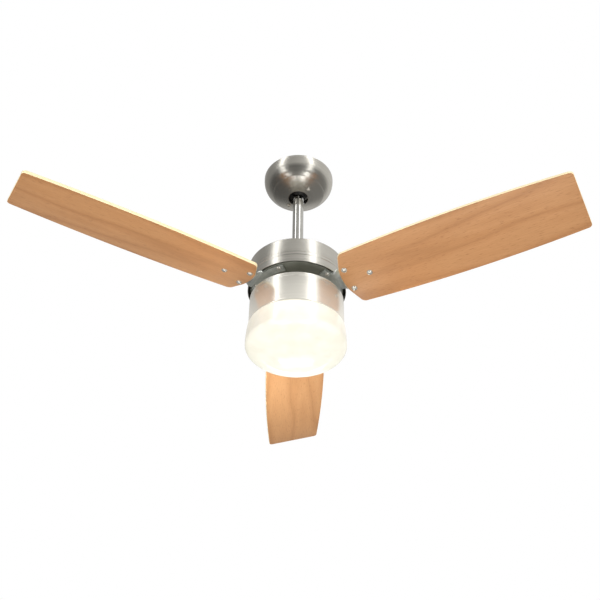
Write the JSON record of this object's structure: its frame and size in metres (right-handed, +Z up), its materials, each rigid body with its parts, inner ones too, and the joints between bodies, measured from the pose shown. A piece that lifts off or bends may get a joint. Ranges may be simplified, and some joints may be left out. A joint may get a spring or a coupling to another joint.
{
  "type": "ceiling fan with light",
  "caption": "Ceiling fan on a downrod: a spun metal motor housing turns pitched wooden blades above a light kit with an opal glass shade.",
  "frame": {"origin": "centre of the hanger bracket's ceiling face, on the fan's axis, in the plane of the ceiling", "axes": "+Z up into the ceiling, along the fan's axis; +X along the row of the two ceiling screw slots; +Y the way the first blade points at rest"},
  "size_m": [0.9814, 0.8576, 0.457],
  "materials": {
    "satin_nickel": "satin nickel plate, brushed round the axis",
    "polished_steel": "bright nickel plated tube",
    "zinc_plate": "bright zinc plated pressed steel",
    "plated_screw": "nickel plated fasteners",
    "black_steel": "black oxide and black paint",
    "ball_nylon": "black moulded nylon",
    "receiver_case": "white moulded case",
    "terminal_plastic": "cream moulded plastic",
    "lead_sleeve": "white flexible sleeve",
    "cast_yoke": "grey painted casting",
    "ground_shaft": "ground steel",
    "core_steel": "stacked electrical steel, varnished",
    "copper_wire": "enamelled copper winding",
    "rotor_cast": "dark cast aluminium",
    "blade_wood": "light brown beech laminate with cream edges",
    "tray_enamel": "white enamel",
    "capacitor_case": "black moulded case",
    "holder_ceramic": "cream glazed ceramic",
    "lamp_cap": "plated brass",
    "lamp_glass": "opal lamp glass, lit",
    "opal_glass": "opal white glass, lit from inside"
  },
  "bodies": {
    "ceiling_mount": {"hanger_bracket": "black_steel", "canopy": "satin_nickel", "canopy_screws": "plated_screw", "remote_receiver": "receiver_case", "terminal_block": "terminal_plastic"},
    "hanger": {"hanger_ball": "ball_nylon", "ball_pin": "plated_screw", "ball_set_screw": "black_steel", "downrod": "polished_steel", "motor_lead": "lead_sleeve", "lead_connectors": "terminal_plastic", "coupling_cover": "satin_nickel", "motor_yoke": "cast_yoke", "yoke_pin": "plated_screw", "yoke_clip": "plated_screw", "yoke_set_screws": "black_steel", "motor_cover": "satin_nickel", "cover_screws": "plated_screw", "motor_shaft": "ground_shaft", "stator_core": "core_steel", "stator_windings": "copper_wire", "upper_inner_race": "ground_shaft", "upper_balls": "ground_shaft", "lower_inner_race": "ground_shaft", "lower_balls": "ground_shaft", "jam_nut": "zinc_plate", "light_housing": "satin_nickel", "housing_clips": "zinc_plate", "kit_plate": "zinc_plate", "kit_nut": "zinc_plate", "standoffs": "zinc_plate", "lamp_tray": "tray_enamel", "tray_screws": "plated_screw", "run_capacitor": "capacitor_case", "lamp_bracket_1": "zinc_plate", "lamp_bracket_2": "zinc_plate", "lamp_holder_1": "holder_ceramic", "lamp_holder_2": "holder_ceramic", "bulb_cap_1": "lamp_cap", "bulb_cap_2": "lamp_cap", "bulb_1": "lamp_glass", "bulb_2": "lamp_glass"},
    "rotor": {"rotor_upper_shell": "rotor_cast", "rotor_lower_shell": "rotor_cast", "rotor_cage": "rotor_cast", "rotor_screws": "plated_screw", "upper_outer_race": "ground_shaft", "lower_outer_race": "ground_shaft", "arm_1": "zinc_plate", "arm_2": "zinc_plate", "arm_3": "zinc_plate", "foot_screws": "plated_screw", "blade_1": "blade_wood", "blade_2": "blade_wood", "blade_3": "blade_wood", "blade_screws": "plated_screw"},
    "shade": {"shade_ring": "zinc_plate", "glass_shade": "opal_glass"}
  },
  "joints": [
    {"name": "hanger_tilt", "type": "hinge", "parent": "ceiling_mount", "child": "hanger", "pos_m": [0, 0, -0.031], "axis": [0.6494, -0.7604, 0], "range_deg": [-15, 15]},
    {"name": "rotor_spin", "type": "hinge", "parent": "hanger", "child": "rotor", "pos_m": [0, 0, -0.285], "axis": [0, 0, 1], "continuous": true},
    {"name": "shade_twist", "type": "hinge", "parent": "hanger", "child": "shade", "pos_m": [0, 0, -0.39], "axis": [0, 0, 1], "range_deg": [0, 16]}
  ]
}
